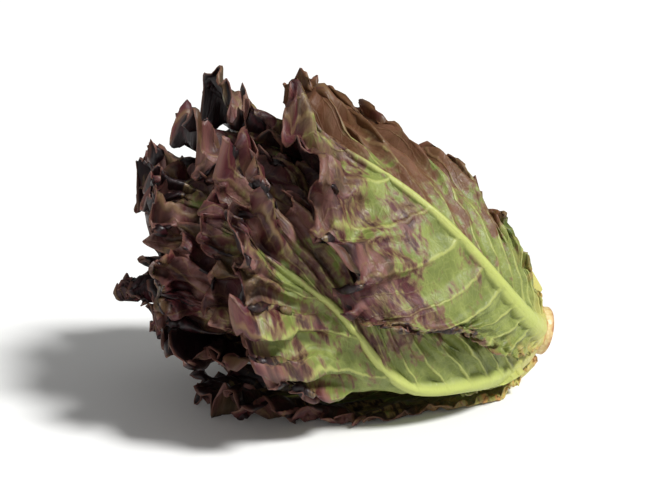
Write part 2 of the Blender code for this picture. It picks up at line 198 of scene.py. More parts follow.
class Leaf:
    """One leaf: its place on the spiral, its length and the outline of its flat blade."""

    def __init__(self, k):
        self.k = k
        self.inward = k / (LEAF_COUNT - 1)
        self.phases = np.random.default_rng(100 + k).uniform(0, 1, 6)
        self.fine_phases = np.random.default_rng(300 + k).uniform(0, 1, 20)
        self.angle = LOWEST_LEAF_ANGLE + k * DIVERGENCE + LEAN.get(k, 0.0)
        self.twist = TWIST_PER_METRE + MORE_TWIST.get(k, 0.0)
        t = np.linspace(0, self.reach(), PROFILE_STEPS)
        clear_of_stem = layer_share(k, t) * envelope(t) > bark_radius(t)
        self.start = t[np.argmax(clear_of_stem)]
        self.t = np.linspace(self.start, self.reach(), PROFILE_STEPS)
        steps = np.hypot(np.diff(self.t), np.diff(layer_share(k, self.t) * envelope(self.t)))
        self.s = np.concatenate([[0], np.cumsum(steps)])
        self.length = self.s[-1]
        self.half_width = WIDTH_SHARE * self.length * (1 - (1 - HEART_WIDTH) * self.inward**2)
        self.margins = {side: self.outline(np.linspace(0, 1, PROFILE_STEPS), side) for side in (-1, 1)}

    def name(self):
        if self.k < OUTER_LEAVES:
            return f"outer_leaf_{self.k + 1:02d}"
        if self.k < OUTER_LEAVES + MIDDLE_LEAVES:
            return f"middle_leaf_{self.k + 1:02d}"
        return f"heart_leaf_{self.k + 1:02d}"

    def reach(self):
        grown = (REACH_HEART - REACH_OUTER) * self.inward**REACH_BEND
        return REACH_OUTER + grown - SHORTER.get(self.k, 0.0)

    def outline(self, v, side):
        """The blade's margin on one side, from its base at v = 0 to its tip at v = 1."""
        along = (1 - np.cos(math.pi * v)) / 2
        near, far = SIDE_WIDTH.get((self.k, side), (1.0, 1.0))
        change = SIDE_WIDTH_CHANGE.get(self.k, (0, 1))
        half_width = self.half_width * (near + (far - near) * fade(along, *change))
        width = half_width * np.sin(math.pi * np.clip(v, 0, 1) ** WIDEST_SHIFT) ** TIP_ROUNDNESS
        return np.hypot(width, STALK_HALF_WIDTH * (1 - v)), self.length * along

    def rib_angle(self, t):
        """Angle of the midrib at the place t along the axis."""
        place = np.clip((t - SWAY_PLACE[0]) / (SWAY_PLACE[1] - SWAY_PLACE[0]), 0, 1)
        sway = SWAY.get(self.k, 0.0) * np.sin(math.pi * place) ** 2
        return self.angle + self.twist * t + sway

    def wrap(self, t):
        top = HALF_ANGLE_TOP + MORE_WRAP.get(self.k, 0.0)
        return HALF_ANGLE_BASE + (top - HALF_ANGLE_BASE) * smooth(t / WRAP_LENGTH)

    def to_head(self, x, y):
        """Angle and axial place on the head of the flat leaf's point (x, y)."""
        t = np.interp(y, self.s, self.t)
        r = layer_share(self.k, t) * envelope(t)
        most = self.wrap(t)
        return self.rib_angle(t) + most * np.tanh(x / (r * most)), t

    def coverage(self, angle, t):
        """1 where this leaf lies at that place of the head, fading to 0 beyond its margin."""
        y = np.interp(t, self.t, self.s)
        r = layer_share(self.k, t) * envelope(t)
        most = self.wrap(t)
        turn = (angle - self.rib_angle(t) + math.pi) % (2 * math.pi) - math.pi
        off = np.abs(turn)
        x = r * most * np.arctanh(np.clip(off / most, 0, BEYOND)) + r * np.maximum(off - BEYOND * most, 0)
        past_tip = np.maximum(t - self.t[-1], 0)
        gaps = {}
        for side, (margin_x, margin_y) in self.margins.items():
            widest = np.argmax(margin_x)
            side_gap = np.maximum(x - np.interp(y, margin_y, margin_x), 0)
            top = np.interp(-x, -margin_x[widest:], margin_y[widest:])
            top_gap = np.where(x > margin_x[widest], 1.0, np.maximum(y + past_tip - top, 0))
            gaps[side] = side_gap * top_gap / np.maximum(np.hypot(side_gap, top_gap), 1e-9)
        gap = np.maximum(np.where(turn > 0, gaps[1], gaps[-1]), np.maximum(self.start - t, past_tip))
        return 1 - smooth((gap - MARGIN_GUARD) / MARGIN_FADE)


LEAVES = [Leaf(k) for k in range(LEAF_COUNT)]
print("leaf lengths in mm:", [round(1000 * leaf.length) for leaf in LEAVES])

# %% [markdown]
# Why a lettuce margin is frilled: its edge grows faster than its middle, and the spare length
# has to go somewhere, so it buckles into waves, and these carry smaller waves. Here a sum of
# ripples does the same. The long wave and the lobes are those of the solids. The short
# ruffle and the crimp on top of it are added, and grow only close to the margin.

# %% Waves, ruffles and lobes
FRILL_START = 0.34
FRILL_START_TIP = 0.06
TIP_SHARE = 0.6
BASE_FRILL = 0.22
BASE_FADE = (0.85, 0.45)
EDGE_START = 0.55
LEAN_START = 0.35
LEAN_FADE = (0.8, 0.3)
FLARE = 0.8
WAVE_LENGTH = 0.031
WAVE_HEIGHT = 0.0160
CURL_LENGTH = 0.0165
CURL_HEIGHT = 0.0030
LOBE_LENGTH = 0.047
LOBE_DEPTH = 0.14
UNEVEN = 0.3
UNEVEN_TURNS = (1.3, 2.2, 1.7)
SIDEWAYS_SWING = 0.0042
SWING_ROOM = 0.026
SWING_END = 0.1
MARGIN_PER_LENGTH = 1.15
FOLD_LENGTH = 0.0195  # the waves that this script adds, from the longest to the shortest
FOLD_HEIGHT = 0.0050
RUFFLE_LENGTH = 0.0108
RUFFLE_HEIGHT = 0.0036
RUFFLE_SWING = 0.0022
CRIMP_LENGTH = 0.0055
CRIMP_HEIGHT = 0.0009
NOTCH_LENGTH = 0.0145  # and the small lobes in the outline
NOTCH_DEPTH = 0.085
TOOTH_LENGTH = 0.0062
TOOTH_DEPTH = 0.016
FOLD_FULL = 0.9  # where folds are full, and where ruffles and small lobes start, from the midrib
RUFFLE_START = 0.62
NOTCH_START = 0.82
STRAY = ((0.45, 3.1), (0.30, 5.3))  # how far crests stray from even places, and how often
ASKEW = 0.30


def ripple(leaf, length, n, sigma):
    """Turns of an uneven ripple round the margin."""
    uneven = UNEVEN * np.sin(2 * math.pi * (UNEVEN_TURNS[n] * sigma + leaf.phases[2 * n]))
    turns = MARGIN_PER_LENGTH * leaf.length / length * sigma
    return 2 * math.pi * (turns + uneven + leaf.phases[2 * n + 1])


def fine_ripple(leaf, length, n, sigma, u):
    """A shorter ripple, whose crests come closer, further apart and askew by chance."""
    a, b, c, d = leaf.fine_phases[4 * n:4 * n + 4]
    uneven = sum(far * np.sin(2 * math.pi * (often * sigma + p)) for (far, often), p in zip(STRAY, (a, b)))
    askew = ASKEW * np.sin(2 * math.pi * (1.9 * u + 2.7 * sigma + c))
    turns = MARGIN_PER_LENGTH * leaf.length / length * sigma
    return 2 * math.pi * (turns + uneven + askew + d)


def wave(leaf, sigma, u):
    """Height and turn of the long wave, and how far the blade leans, swings along its margin,
    is notched and waves in its short ripples.
    Sigma runs round the margin from -1 at the base through 0 at the tip to 1. U is 0 on the
    midrib and 1 at the margin."""
    along = np.abs(sigma)
    tip = smooth((TIP_SHARE - along) / TIP_SHARE)
    first = FRILL_START + (FRILL_START_TIP - FRILL_START) * tip
    grown = BASE_FRILL + (1 - BASE_FRILL) * fade(along, *BASE_FADE)
    deep = grown * fade(u, first, 1)
    edge = grown * fade(u, EDGE_START, 1)
    big = ripple(leaf, WAVE_LENGTH, 0, sigma)
    small = ripple(leaf, CURL_LENGTH, 1, sigma)
    lobe = ripple(leaf, LOBE_LENGTH, 2, sigma)
    lean = FLARE * fade(u, LEAN_START, 1) * fade(along, *LEAN_FADE)
    swing = -SIDEWAYS_SWING * deep * np.sin(2 * big)
    cut = LOBE_DEPTH * edge * (1 - np.cos(lobe)) / 2

    fold = fine_ripple(leaf, FOLD_LENGTH, 0, sigma, u)
    ruffle = fine_ripple(leaf, RUFFLE_LENGTH, 1, sigma, u)
    crimp = fine_ripple(leaf, CRIMP_LENGTH, 2, sigma, u)
    notch = fine_ripple(leaf, NOTCH_LENGTH, 3, sigma, u)
    tooth = fine_ripple(leaf, TOOTH_LENGTH, 1, sigma, u)
    near = grown * fade(u, RUFFLE_START, 1)
    margin = grown * fade(u, NOTCH_START, 1)
    fine = CURL_HEIGHT * edge * np.sin(small)
    fine = fine + FOLD_HEIGHT * grown * fade(u, first, FOLD_FULL) * np.sin(fold)
    fine = fine + RUFFLE_HEIGHT * near * np.sin(ruffle) + CRIMP_HEIGHT * margin * np.sin(crimp)
    swing = swing - RUFFLE_SWING * near * np.sin(2 * ruffle)
    cut = cut + NOTCH_DEPTH * margin * (1 - np.abs(np.cos(notch / 2)))
    cut = cut + TOOTH_DEPTH * margin * (1 - np.abs(np.cos(tooth / 2)))
    return WAVE_HEIGHT * deep, np.sin(big), lean, swing, cut, fine


print("waves in the longest margin:", round(2 * MARGIN_PER_LENGTH * LEAVES[-1].length / RUFFLE_LENGTH))

# %% [markdown]
# Leaves in a head touch but never pass through each other. So a leaf's frill fills only its
# share of the gap to the leaves beside it, with a tanh curve that bends a wave over softly
# where the gap is narrow. Beyond the tips and in the mouth there is more room.

# %% Room between the leaves
LAYER_SHARE = 0.30
LAYER_GUARD = 0.0028
OPEN_ROOM = 0.006
MOUTH_ROOM = 0.026
LEAST_ROOM = 1e-6


def frill_room(leaf, angle, t):
    """Radius of the leaf's layer, and how far the blade may stand out of it each way."""
    own = layer_radius(leaf.k, angle, t)
    most = OPEN_ROOM + MOUTH_ROOM * smooth((t - MOUTH_START) / MOUTH_LENGTH)
    sag = SAG_SHARE if leaf.k > 0 else 1.0
    outside = np.clip(sag * (ground_distance(angle, t) - own), LEAST_ROOM, most)
    inside = np.clip(LAYER_SHARE * (own - bark_radius(t)), LEAST_ROOM, most)
    for other in LEAVES:
        if other is leaf:
            continue
        gap = np.abs(layer_radius(other.k, angle, t) - own)
        room = np.maximum(LAYER_SHARE * gap, (gap - LAYER_GUARD) / 2)
        room = room + most * (1 - other.coverage(angle, t))
        if other.k < leaf.k:
            outside = np.minimum(outside, room)
        else:
            inside = np.minimum(inside, room)
    return own, outside, inside


own, outside, inside = frill_room(LEAVES[6], np.array([0.0]), np.array([0.1]))
print("room in the middle of the head, mm:", (1000 * outside).round(1), (1000 * inside).round(1))

# %% [markdown]
# The net of points of one half of a blade. Each row runs from the midrib to the margin, as a
# side vein does, so veins and puckers follow the rows. Beside its place each point gets the
# numbers that the relief and the colours are worked out from: where it lies on the flat leaf,
# how far it is from the midrib, and how red the leaf is there.

# %% Points of half a blade
ROWS = 280
RIB_COLUMNS = 7
BLADE_COLUMNS = 19
RIB_HALF_WIDTH = 0.0084
RIB_TAPER = 0.90
RIB_HEIGHT = 0.0055
VEIN_SWEEP = 1.15
SIDE_VEINS = 15
WAVE_LEFT = 0.78  # the long wave gives way a little to the shorter ones
WAVE_SHARE = 0.52  # the long wave's height beside the whole room it has
RIB_SPREAD = 2.0  # the midrib's foot runs out into the blade
FINE_SHARE = 0.30  # where a wave fills its room, the short ones go on in the guard beyond it
MOST_FINE = 0.0011
OPEN_FRILL = 0.040  # where a leaf has this much room, its short ripples are this much higher
MORE_FRILL = 0.45
LEAF_STEP = 0.1  # sets the patterns of two leaves apart
RIB_TAPER_BEND = 0.7
RIB_EDGE_LIMITS = (0.02, 0.8)
FOOT_MOST = 0.85
MARGIN_CROWDING = 0.9  # columns come closer near the margin
RIB_FALL = 0.7
RIB_ROUNDNESS = 1.6
RIB_END = (0.86, 0.70)
VEIN_CROWDING = 0.85
VEIN_WOBBLE = (0.10, 0.30)
VEIN_WOBBLE_TURNS = (1.3, 1.7)
MOST_VEIN_GAP = 0.05
CLEAR_ROOM = 0.001  # veins are full where the back has this much room
FREE_SHARE = 0.45  # of the least room is left to puckers and blisters
FREE_MOST = 0.006
FREE_LOSS = 0.4  # less of it where a wave fills its room


def half_blade(leaf, side):
    """Fields of one half of the blade, each an array of rows and columns."""
    v = np.linspace(0, 1, ROWS + 1)[:, None]
    margin_x, margin_y = leaf.outline(v, side)
    rib_y = RIB_SHARE * leaf.length * v**RIB_SPACING
    rib_half = RIB_HALF_WIDTH * (1 - RIB_TAPER * v**RIB_TAPER_BEND)
    rib_edge = np.clip(rib_half / np.maximum(margin_x, 1e-6), *RIB_EDGE_LIMITS)
    rib_edge[-1] = rib_edge[-2]
    foot = np.clip(RIB_SPREAD * rib_edge, 0, FOOT_MOST)
    on_rib = np.linspace(0, 1, RIB_COLUMNS, endpoint=False)[None, :]
    on_blade = np.linspace(0, 1, BLADE_COLUMNS + 1)[None, :] ** MARGIN_CROWDING
    u = np.hstack([foot * on_rib, foot + (1 - foot) * on_blade])
    sigma = side * (1 - v)
    height, turn, lean, swing, cut, fine = wave(leaf, sigma, u)
    x = margin_x * u * (1 - cut)
    y = rib_y + (margin_y - rib_y) * u**VEIN_SWEEP * (1 - cut)
    flat = np.stack([side * x, y, np.full_like(x, LEAF_STEP * leaf.k)], axis=-1)

    own, outside, inside = frill_room(leaf, *leaf.to_head(side * x, y))
    swing = swing * np.clip((outside + inside) / SWING_ROOM, 0, 1)
    along_x = np.gradient(margin_x[:, 0])[:, None]
    along_y = np.gradient(margin_y[:, 0])[:, None]
    step = np.hypot(along_x, along_y)
    x = x + swing * smooth((1 - v) / SWING_END) * along_x / step
    y = np.clip(y + swing * along_y / step, 0, leaf.length)
    angle, t = leaf.to_head(side * x, y)
    own, outside, inside = frill_room(leaf, angle, t)
    fine = fine * (1 + MORE_FRILL * np.clip((outside + inside) / OPEN_FRILL, 0, 1))
    height = WAVE_LEFT * height
    middle = WAVE_SHARE * (outside + inside)
    out = middle * np.tanh(height / middle) * turn + lean * (outside - inside) + fine
    room = np.where(out > 0, outside, inside)
    bent = np.tanh(out / room)
    least = np.minimum(outside, inside)
    spare = np.minimum(FINE_SHARE * least, MOST_FINE)
    points = head_point(angle, t, own + room * bent + spare * np.tanh(fine / spare) * bent**2)

    swell = RIB_HEIGHT * np.clip(1 - rib_y / (RIB_SHARE * leaf.length), 0, 1) ** RIB_FALL
    rib_profile = np.cos(math.pi / 2 * np.clip(u / foot, 0, 1)) ** RIB_ROUNDNESS
    swell = swell * rib_profile
    rib_out = np.minimum(swell, outside)
    rib_in = np.minimum(swell - rib_out, inside)

    a, b, c = leaf.fine_phases[16:19]
    wobble = VEIN_WOBBLE[0] * np.sin(2 * math.pi * (VEIN_WOBBLE_TURNS[0] * u + a))
    wobble = wobble + VEIN_WOBBLE[1] * np.sin(2 * math.pi * (VEIN_WOBBLE_TURNS[1] * v + b))
    vein_place = SIDE_VEINS * v**VEIN_CROWDING + wobble * u + c
    steps = np.linalg.norm(np.gradient(flat, axis=0), axis=-1)
    vein_gap = steps / np.maximum(np.abs(np.gradient(vein_place, axis=0)), 1e-6)
    free = FREE_SHARE * np.minimum(least, FREE_MOST) * (1 - FREE_LOSS * bent**2)
    free = free * fade(u, rib_edge, rib_edge * 1.6 + 0.03)
    return {
        "points": points,
        "flat": flat,
        "rib_out": rib_out,
        "rib_in": rib_in,
        "rib": rib_profile * fade(y / leaf.length, *RIB_END),
        "vein_place": vein_place,
        "vein_gap": np.minimum(vein_gap, MOST_VEIN_GAP),
        "across": u,
        "along": y / leaf.length,
        "side": np.full_like(u, side),
        "free": free,
        "clear": np.clip(outside / CLEAR_ROOM, 0, 1),
    }


halves = half_blade(LEAVES[1], 1)
print("one half of a leaf:", halves["across"].shape, "points")

# %% [markdown]
# The two halves share their midrib and the line from its end to the tip, so they are sewn
# there. The result is only the middle surface of the leaf, one sheet of four-sided faces that
# carries its numbers as named attributes.

# %% The middle surface as a mesh


def middle_surface(leaf):
    """A sheet mesh with the fields of both halves as point attributes."""
    left, right = half_blade(leaf, -1), half_blade(leaf, 1)
    rows, columns = left["across"].shape
    number = np.arange(rows * columns).reshape(rows, columns)
    shared = np.zeros((rows, columns), bool)
    shared[:, 0] = True
    shared[-1, :] = True
    own = np.cumsum(~shared.ravel()).reshape(rows, columns) - 1
    index = np.where(shared, number, own + rows * columns)
    fields = {}
    for name in left:
        a = left[name].reshape(rows * columns, -1)
        b = right[name][~shared].reshape((~shared).sum(), -1)
        fields[name] = np.concatenate([a, b])
    faces = []
    for grid, order in ((number, (0, 3, 2, 1)), (index, (0, 1, 2, 3))):
        corners = [grid[:-1, :-1], grid[:-1, 1:], grid[1:, 1:], grid[1:, :-1]]
        faces.append(np.stack([corners[n].ravel() for n in order], axis=-1))
    faces = np.concatenate(faces)
    points = fields.pop("points") - ground_centre
    mesh = bpy.data.meshes.new(leaf.name())
    mesh.from_pydata(points.tolist(), [], faces.tolist())
    for name, values in fields.items():
        kind = "FLOAT_VECTOR" if values.shape[1] == 3 else "FLOAT"
        store = mesh.attributes.new(name, kind, "POINT")
        store.data.foreach_set("vector" if kind == "FLOAT_VECTOR" else "value", values.ravel())
    return mesh


stem_t = np.linspace(0, STEM_LENGTH, 7)
stem_turn = np.linspace(0, 2 * math.pi, 20, endpoint=False)
cad_stem = head_point(*np.meshgrid(stem_turn, stem_t), stem_radius(stem_t)[:, None]).reshape(-1, 3)
stem_low = Vector(cad_stem.min(axis=0))
ground_centre = np.array(stem_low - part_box("stem")[0])
print("the row's origin in the head's own coordinates, mm:", (1000 * ground_centre).round(1))

# %% [markdown]
# From sheet to leaf, with Geometry Nodes. A leaf is thin tissue stretched over stiff veins. The
# tissue between the veins grows more than they do and puffs up in small puckers. The tree
# first pushes the sheet in and out along its normals, then makes it a closed leaf: it extrudes
# a back face with the midrib and veins standing on it, and closes the front with the same
# sheet turned over.

# %% One small function that adds a node
# a kind is Blender's own name, or a pair of it and the settings that it always has here
MATH_NAMES = (
    "ADD", "SUBTRACT", "MULTIPLY", "DIVIDE", "POWER",
    "MINIMUM", "MAXIMUM", "SINE", "PINGPONG", "MULTIPLY_ADD",
)
ADD, SUBTRACT, MULTIPLY, DIVIDE, POWER, MINIMUM, MAXIMUM, SINE, PINGPONG, MULTIPLY_ADD = (
    ("ShaderNodeMath", {"operation": name}) for name in MATH_NAMES
)
SHIFT = ("ShaderNodeVectorMath", {"operation": "ADD"})
SCALE = ("ShaderNodeVectorMath", {"operation": "SCALE"})
MIX = ("ShaderNodeMix", {"data_type": "RGBA"})
SOFT_STEP = ("ShaderNodeMapRange", {"interpolation_type": "SMOOTHSTEP"})
NOISE = ("ShaderNodeTexNoise", {"noise_dimensions": "3D"})
FIELD = ("GeometryNodeInputNamedAttribute", {"data_type": "FLOAT"})
VECTOR_FIELD = ("GeometryNodeInputNamedAttribute", {"data_type": "FLOAT_VECTOR"})
STORE = ("GeometryNodeStoreNamedAttribute", {"data_type": "FLOAT", "domain": "POINT"})
STORE_VECTOR = ("GeometryNodeStoreNamedAttribute", {"data_type": "FLOAT_VECTOR", "domain": "POINT"})


def feed(made, inputs):
    """Feeds a node's inputs with plain values, sockets, or the first output of other nodes."""
    for key, value in inputs.items():
        if isinstance(value, bpy.types.Node):
            value = next(socket for socket in value.outputs if socket.enabled)
        if isinstance(value, bpy.types.NodeSocket):
            made.id_data.links.new(value, made.inputs[key])
        else:
            made.inputs[key].default_value = value


def node(tree, kind, *values, named=None, **settings):
    """Adds a node with its settings, and feeds its inputs in their order or by name."""
    name, usual = kind if isinstance(kind, tuple) else (kind, {})
    made = tree.nodes.new(name)
    for setting, value in {**usual, **settings}.items():
        setattr(made, setting, value)
    shown = [n for n, socket in enumerate(made.inputs) if socket.enabled]
    feed(made, {**dict(zip(shown, values)), **(named or {})})
    return made


print("kinds of sum that a node can do here:", len(MATH_NAMES))

# %% The tree that turns a sheet into a leaf
LEAF_INPUTS = {
    "Thickness": BLADE_THICKNESS,
    "Vein Height": 0.0007,
    "Vein Width": 0.0014,
    "Pucker Depth": 0.0024,
    "Blister Height": 0.0026,
    "Blister Size": 0.0095,
}
VEIN_SHARPNESS = 1.5
VEIN_REACH = 1.1  # veins sink into the blade towards its margin, at 1
BLISTER_DETAIL = 2.5
BLISTER_SWING = 2.4  # stretches the noise, which stays near its middle, to the whole height
MARGIN_THINNER = -0.20  # of the thickness, on each side
WELD_DISTANCE = 1e-6


def leaf_tree():
    tree = bpy.data.node_groups.new("Sheet to leaf", "GeometryNodeTree")
    face = tree.interface
    face.new_socket("Geometry", in_out="INPUT", socket_type="NodeSocketGeometry")
    for name, value in LEAF_INPUTS.items():
        made = face.new_socket(name, in_out="INPUT", socket_type="NodeSocketFloat")
        made.default_value = value
        made.subtype = "DISTANCE"
    face.new_socket("Seed", in_out="INPUT", socket_type="NodeSocketInt")
    face.new_socket("Material", in_out="INPUT", socket_type="NodeSocketMaterial")
    face.new_socket("Geometry", in_out="OUTPUT", socket_type="NodeSocketGeometry")
    add = partial(node, tree)
    given = add("NodeGroupInput").outputs

    # side veins, off the midrib, with a puff of tissue between each two
    place = add(FIELD, "vein_place")
    from_vein = add(MULTIPLY, add(PINGPONG, place, 0.5), add(FIELD, "vein_gap"))
    vein = add(SUBTRACT, 1.0, add(DIVIDE, from_vein, given["Vein Width"]))
    vein = add(POWER, add(MAXIMUM, vein, 0.0), VEIN_SHARPNESS)
    vein = add(MULTIPLY, vein, add(SUBTRACT, VEIN_REACH, add(FIELD, "across")))
    off_rib = add(SUBTRACT, 1.0, add(FIELD, "rib"))
    vein = add(MULTIPLY, vein, add(MULTIPLY, off_rib, add(FIELD, "clear")))
    puff = add(POWER, add(SINE, add(MULTIPLY, place, math.pi)), 2.0)
    pucker = add(MULTIPLY, puff, add(MULTIPLY, given["Pucker Depth"], -1.0))

    # blisters, and the relief of both kept within the room that the leaf has
    own_place = add("ShaderNodeCombineXYZ", 0.0, 0.0, given["Seed"])
    shifted = add(SHIFT, add(VECTOR_FIELD, "flat"), own_place)
    noise = add(NOISE, shifted, add(DIVIDE, 1.0, given["Blister Size"]), BLISTER_DETAIL)
    blister = add(MULTIPLY, add(SUBTRACT, noise, 0.5), BLISTER_SWING)
    blister = add(MULTIPLY, blister, given["Blister Height"])
    free = add(FIELD, "free")
    relief = add(MAXIMUM, add(ADD, pucker, blister), add(MULTIPLY, free, -1.0))
    relief = add(MINIMUM, relief, free)
    normal = add("GeometryNodeInputNormal")
    push = add(SCALE, normal, relief)
    sheet = add("GeometryNodeSetPosition", given["Geometry"], named={"Offset": push})
    sheet = add(STORE_VECTOR, sheet, named={"Name": "outward", "Value": normal})

    # how far the back and the front lie from the middle surface
    thinner = add(MULTIPLY_ADD, add(POWER, add(FIELD, "across"), 4.0), MARGIN_THINNER, 0.5)
    half = add(MULTIPLY, given["Thickness"], thinner)
    outward = add(VECTOR_FIELD, "outward")
    vein_height = add(MULTIPLY, vein, given["Vein Height"])
    back_height = add(ADD, add(ADD, half, add(FIELD, "rib_out")), vein_height)
    front_height = add(MULTIPLY, add(ADD, half, add(FIELD, "rib_in")), -1.0)
    to_back = add(SCALE, outward, back_height)
    to_front = add(SCALE, outward, front_height)

    # the back with its rim, the front, and the two welded
    whole = {"Offset Scale": 0.0, "Individual": False}
    raised = add("GeometryNodeExtrudeMesh", sheet, named=whole, mode="FACES")
    top = raised.outputs["Top"]
    not_top = add("FunctionNodeBooleanMath", top, operation="NOT")
    shell = add(STORE, raised, named={"Name": "back", "Value": top})
    shell = add("GeometryNodeSetPosition", shell, named={"Selection": top, "Offset": to_back})
    shell = add("GeometryNodeSetPosition", shell, named={"Selection": not_top, "Offset": to_front})
    front = add("GeometryNodeFlipFaces", sheet)
    front = add(STORE, front, named={"Name": "back", "Value": 0.0})
    front = add("GeometryNodeSetPosition", front, named={"Offset": to_front})
    joined = add("GeometryNodeJoinGeometry", shell)
    tree.links.new(front.outputs[0], joined.inputs[0])
    welded = add("GeometryNodeMergeByDistance", joined, named={"Distance": WELD_DISTANCE})
    rounded = add("GeometryNodeSetShadeSmooth", welded)
    real = add("GeometryNodeRealizeInstances", rounded)
    done = add("GeometryNodeSetMaterial", real, named={"Material": given["Material"]})
    add("NodeGroupOutput", done)
    return tree


def grow(name, mesh, tree, inputs):
    """Runs the tree on the mesh and returns an object with the plain resulting mesh."""
    rough = bpy.data.objects.new(name + "_sheet", mesh)
    bpy.context.scene.collection.objects.link(rough)
    modifier = rough.modifiers.new("Grow", "NODES")
    modifier.node_group = tree
    for item in tree.interface.items_tree:
        if item.name in inputs and item.in_out == "INPUT":
            modifier[item.identifier] = inputs[item.name]
    bpy.context.view_layer.update()
    evaluated = rough.evaluated_get(bpy.context.evaluated_depsgraph_get())
    grown = bpy.data.meshes.new_from_object(evaluated)
    grown.name = name
    bpy.data.objects.remove(rough, do_unlink=True)
    made = bpy.data.objects.new(name, grown)
    bpy.context.scene.collection.objects.link(made)
    return made


SHEET_TO_LEAF = leaf_tree()
print("nodes in the leaf tree:", len(SHEET_TO_LEAF.nodes))

# %% [markdown]
# Colour. The green of a lettuce is chlorophyll, and the red is a second pigment, anthocyanin,
# that the plant makes where the sun reaches: at the tips, round the margins and on the outside
# of the head. Where both meet the leaf looks brown or olive. Veins and the midrib have little
# of either and stay pale. The front of a leaf is darker and glossier than its back. Its dark red
# is made near black on top of that, as painted shade for the hollows, where mostly fronts show.

# %% Colour helpers


def colour(hex_text):
    """An sRGB hex colour as linear red, green, blue and alpha."""
    parts = [int(hex_text[n:n + 2], 16) / 255 for n in (1, 3, 5)]
    return tuple(c / 12.92 if c <= 0.04045 else ((c + 0.055) / 1.055) ** 2.4 for c in parts) + (1.0,)


GREEN_BACK = colour("#7a8342")
GREEN_FRONT = colour("#46531f")
GREEN_PATCH = colour("#535e25")
RED_BACK = colour("#491b20")
RED_LIGHT = colour("#865f56")
RED_WARM = colour("#694727")
# the front's dark red, made near black as painted shade for the hollows, where fronts show
RED_FRONT_AND_PAINTED_SHADE = colour("#17070a")
OLIVE = colour("#47401c")
RED_VEIN = colour("#735b3b")
DUSK = colour("#70593e")  # where green and red are mixed
RIB_PALE = colour("#a9b15f")
RIB_FAR = colour("#a8ac62")
BASE_PALE = colour("#b9b062")
OXIDISED = colour("#b87d48")
EDGE_RUST = colour("#86594a")

# where along each leaf that the photograph shows the red starts, else by chance
RED_START = {0: 0.26, 1: 0.34, 2: 0.33, 3: 0.44, 4: 0.42}
RED_START_LEAST = 0.22
RED_START_SPREAD = 0.12
RED_SPAN = 0.36  # and how much further on it is full
RED_SIDE = {(1, 1): 0.18, (1, -1): -0.04, (3, 1): 0.14, (3, -1): 0.0}  # more red on one half
WARM_SIDE = {1: 0.65}  # how far the red of one half turns to a warm brown
RED_PATCHES = ((0.024, 1.15), (0.008, 0.8), (0.0030, 0.55))  # sizes in metres, and strengths
BASE_END = {0: 0.55, 4: 0.45}  # how far up the pale foot of a leaf reaches
OTHER_BASE_END = 0.20
AGE = {0: 1.0, 1: 0.5, 3: 0.35, 4: 0.8}  # how strong the rusty spots of old leaves are
OTHER_AGE = 0.15
AGE_END = {0: 0.62}  # and how far up they reach
OTHER_AGE_END = 0.45

# size in metres and detail of each pattern of spots
SPOTS = {
    "green": (0.014, 3.0),
    "light": (0.020, 2.0),
    "deep": (0.009, 3.0),
    "olive": (0.017, 3.0),
    "old": (0.010, 3.0),
    "vein": (0.012, 3.0),
    "wax": (0.006, 3.0),
    "pits": (0.0012, 2.0),
    "dents": (0.0040, 2.0),
}
NET_SIZE = 0.0056
FIBRE_SIZE = 0.0011
FIBRE_SQUEEZE = 0.06  # fibres run along the midrib
print("patterns of spots on a leaf:", len(SPOTS) + len(RED_PATCHES))

# %% The living surface of a leaf


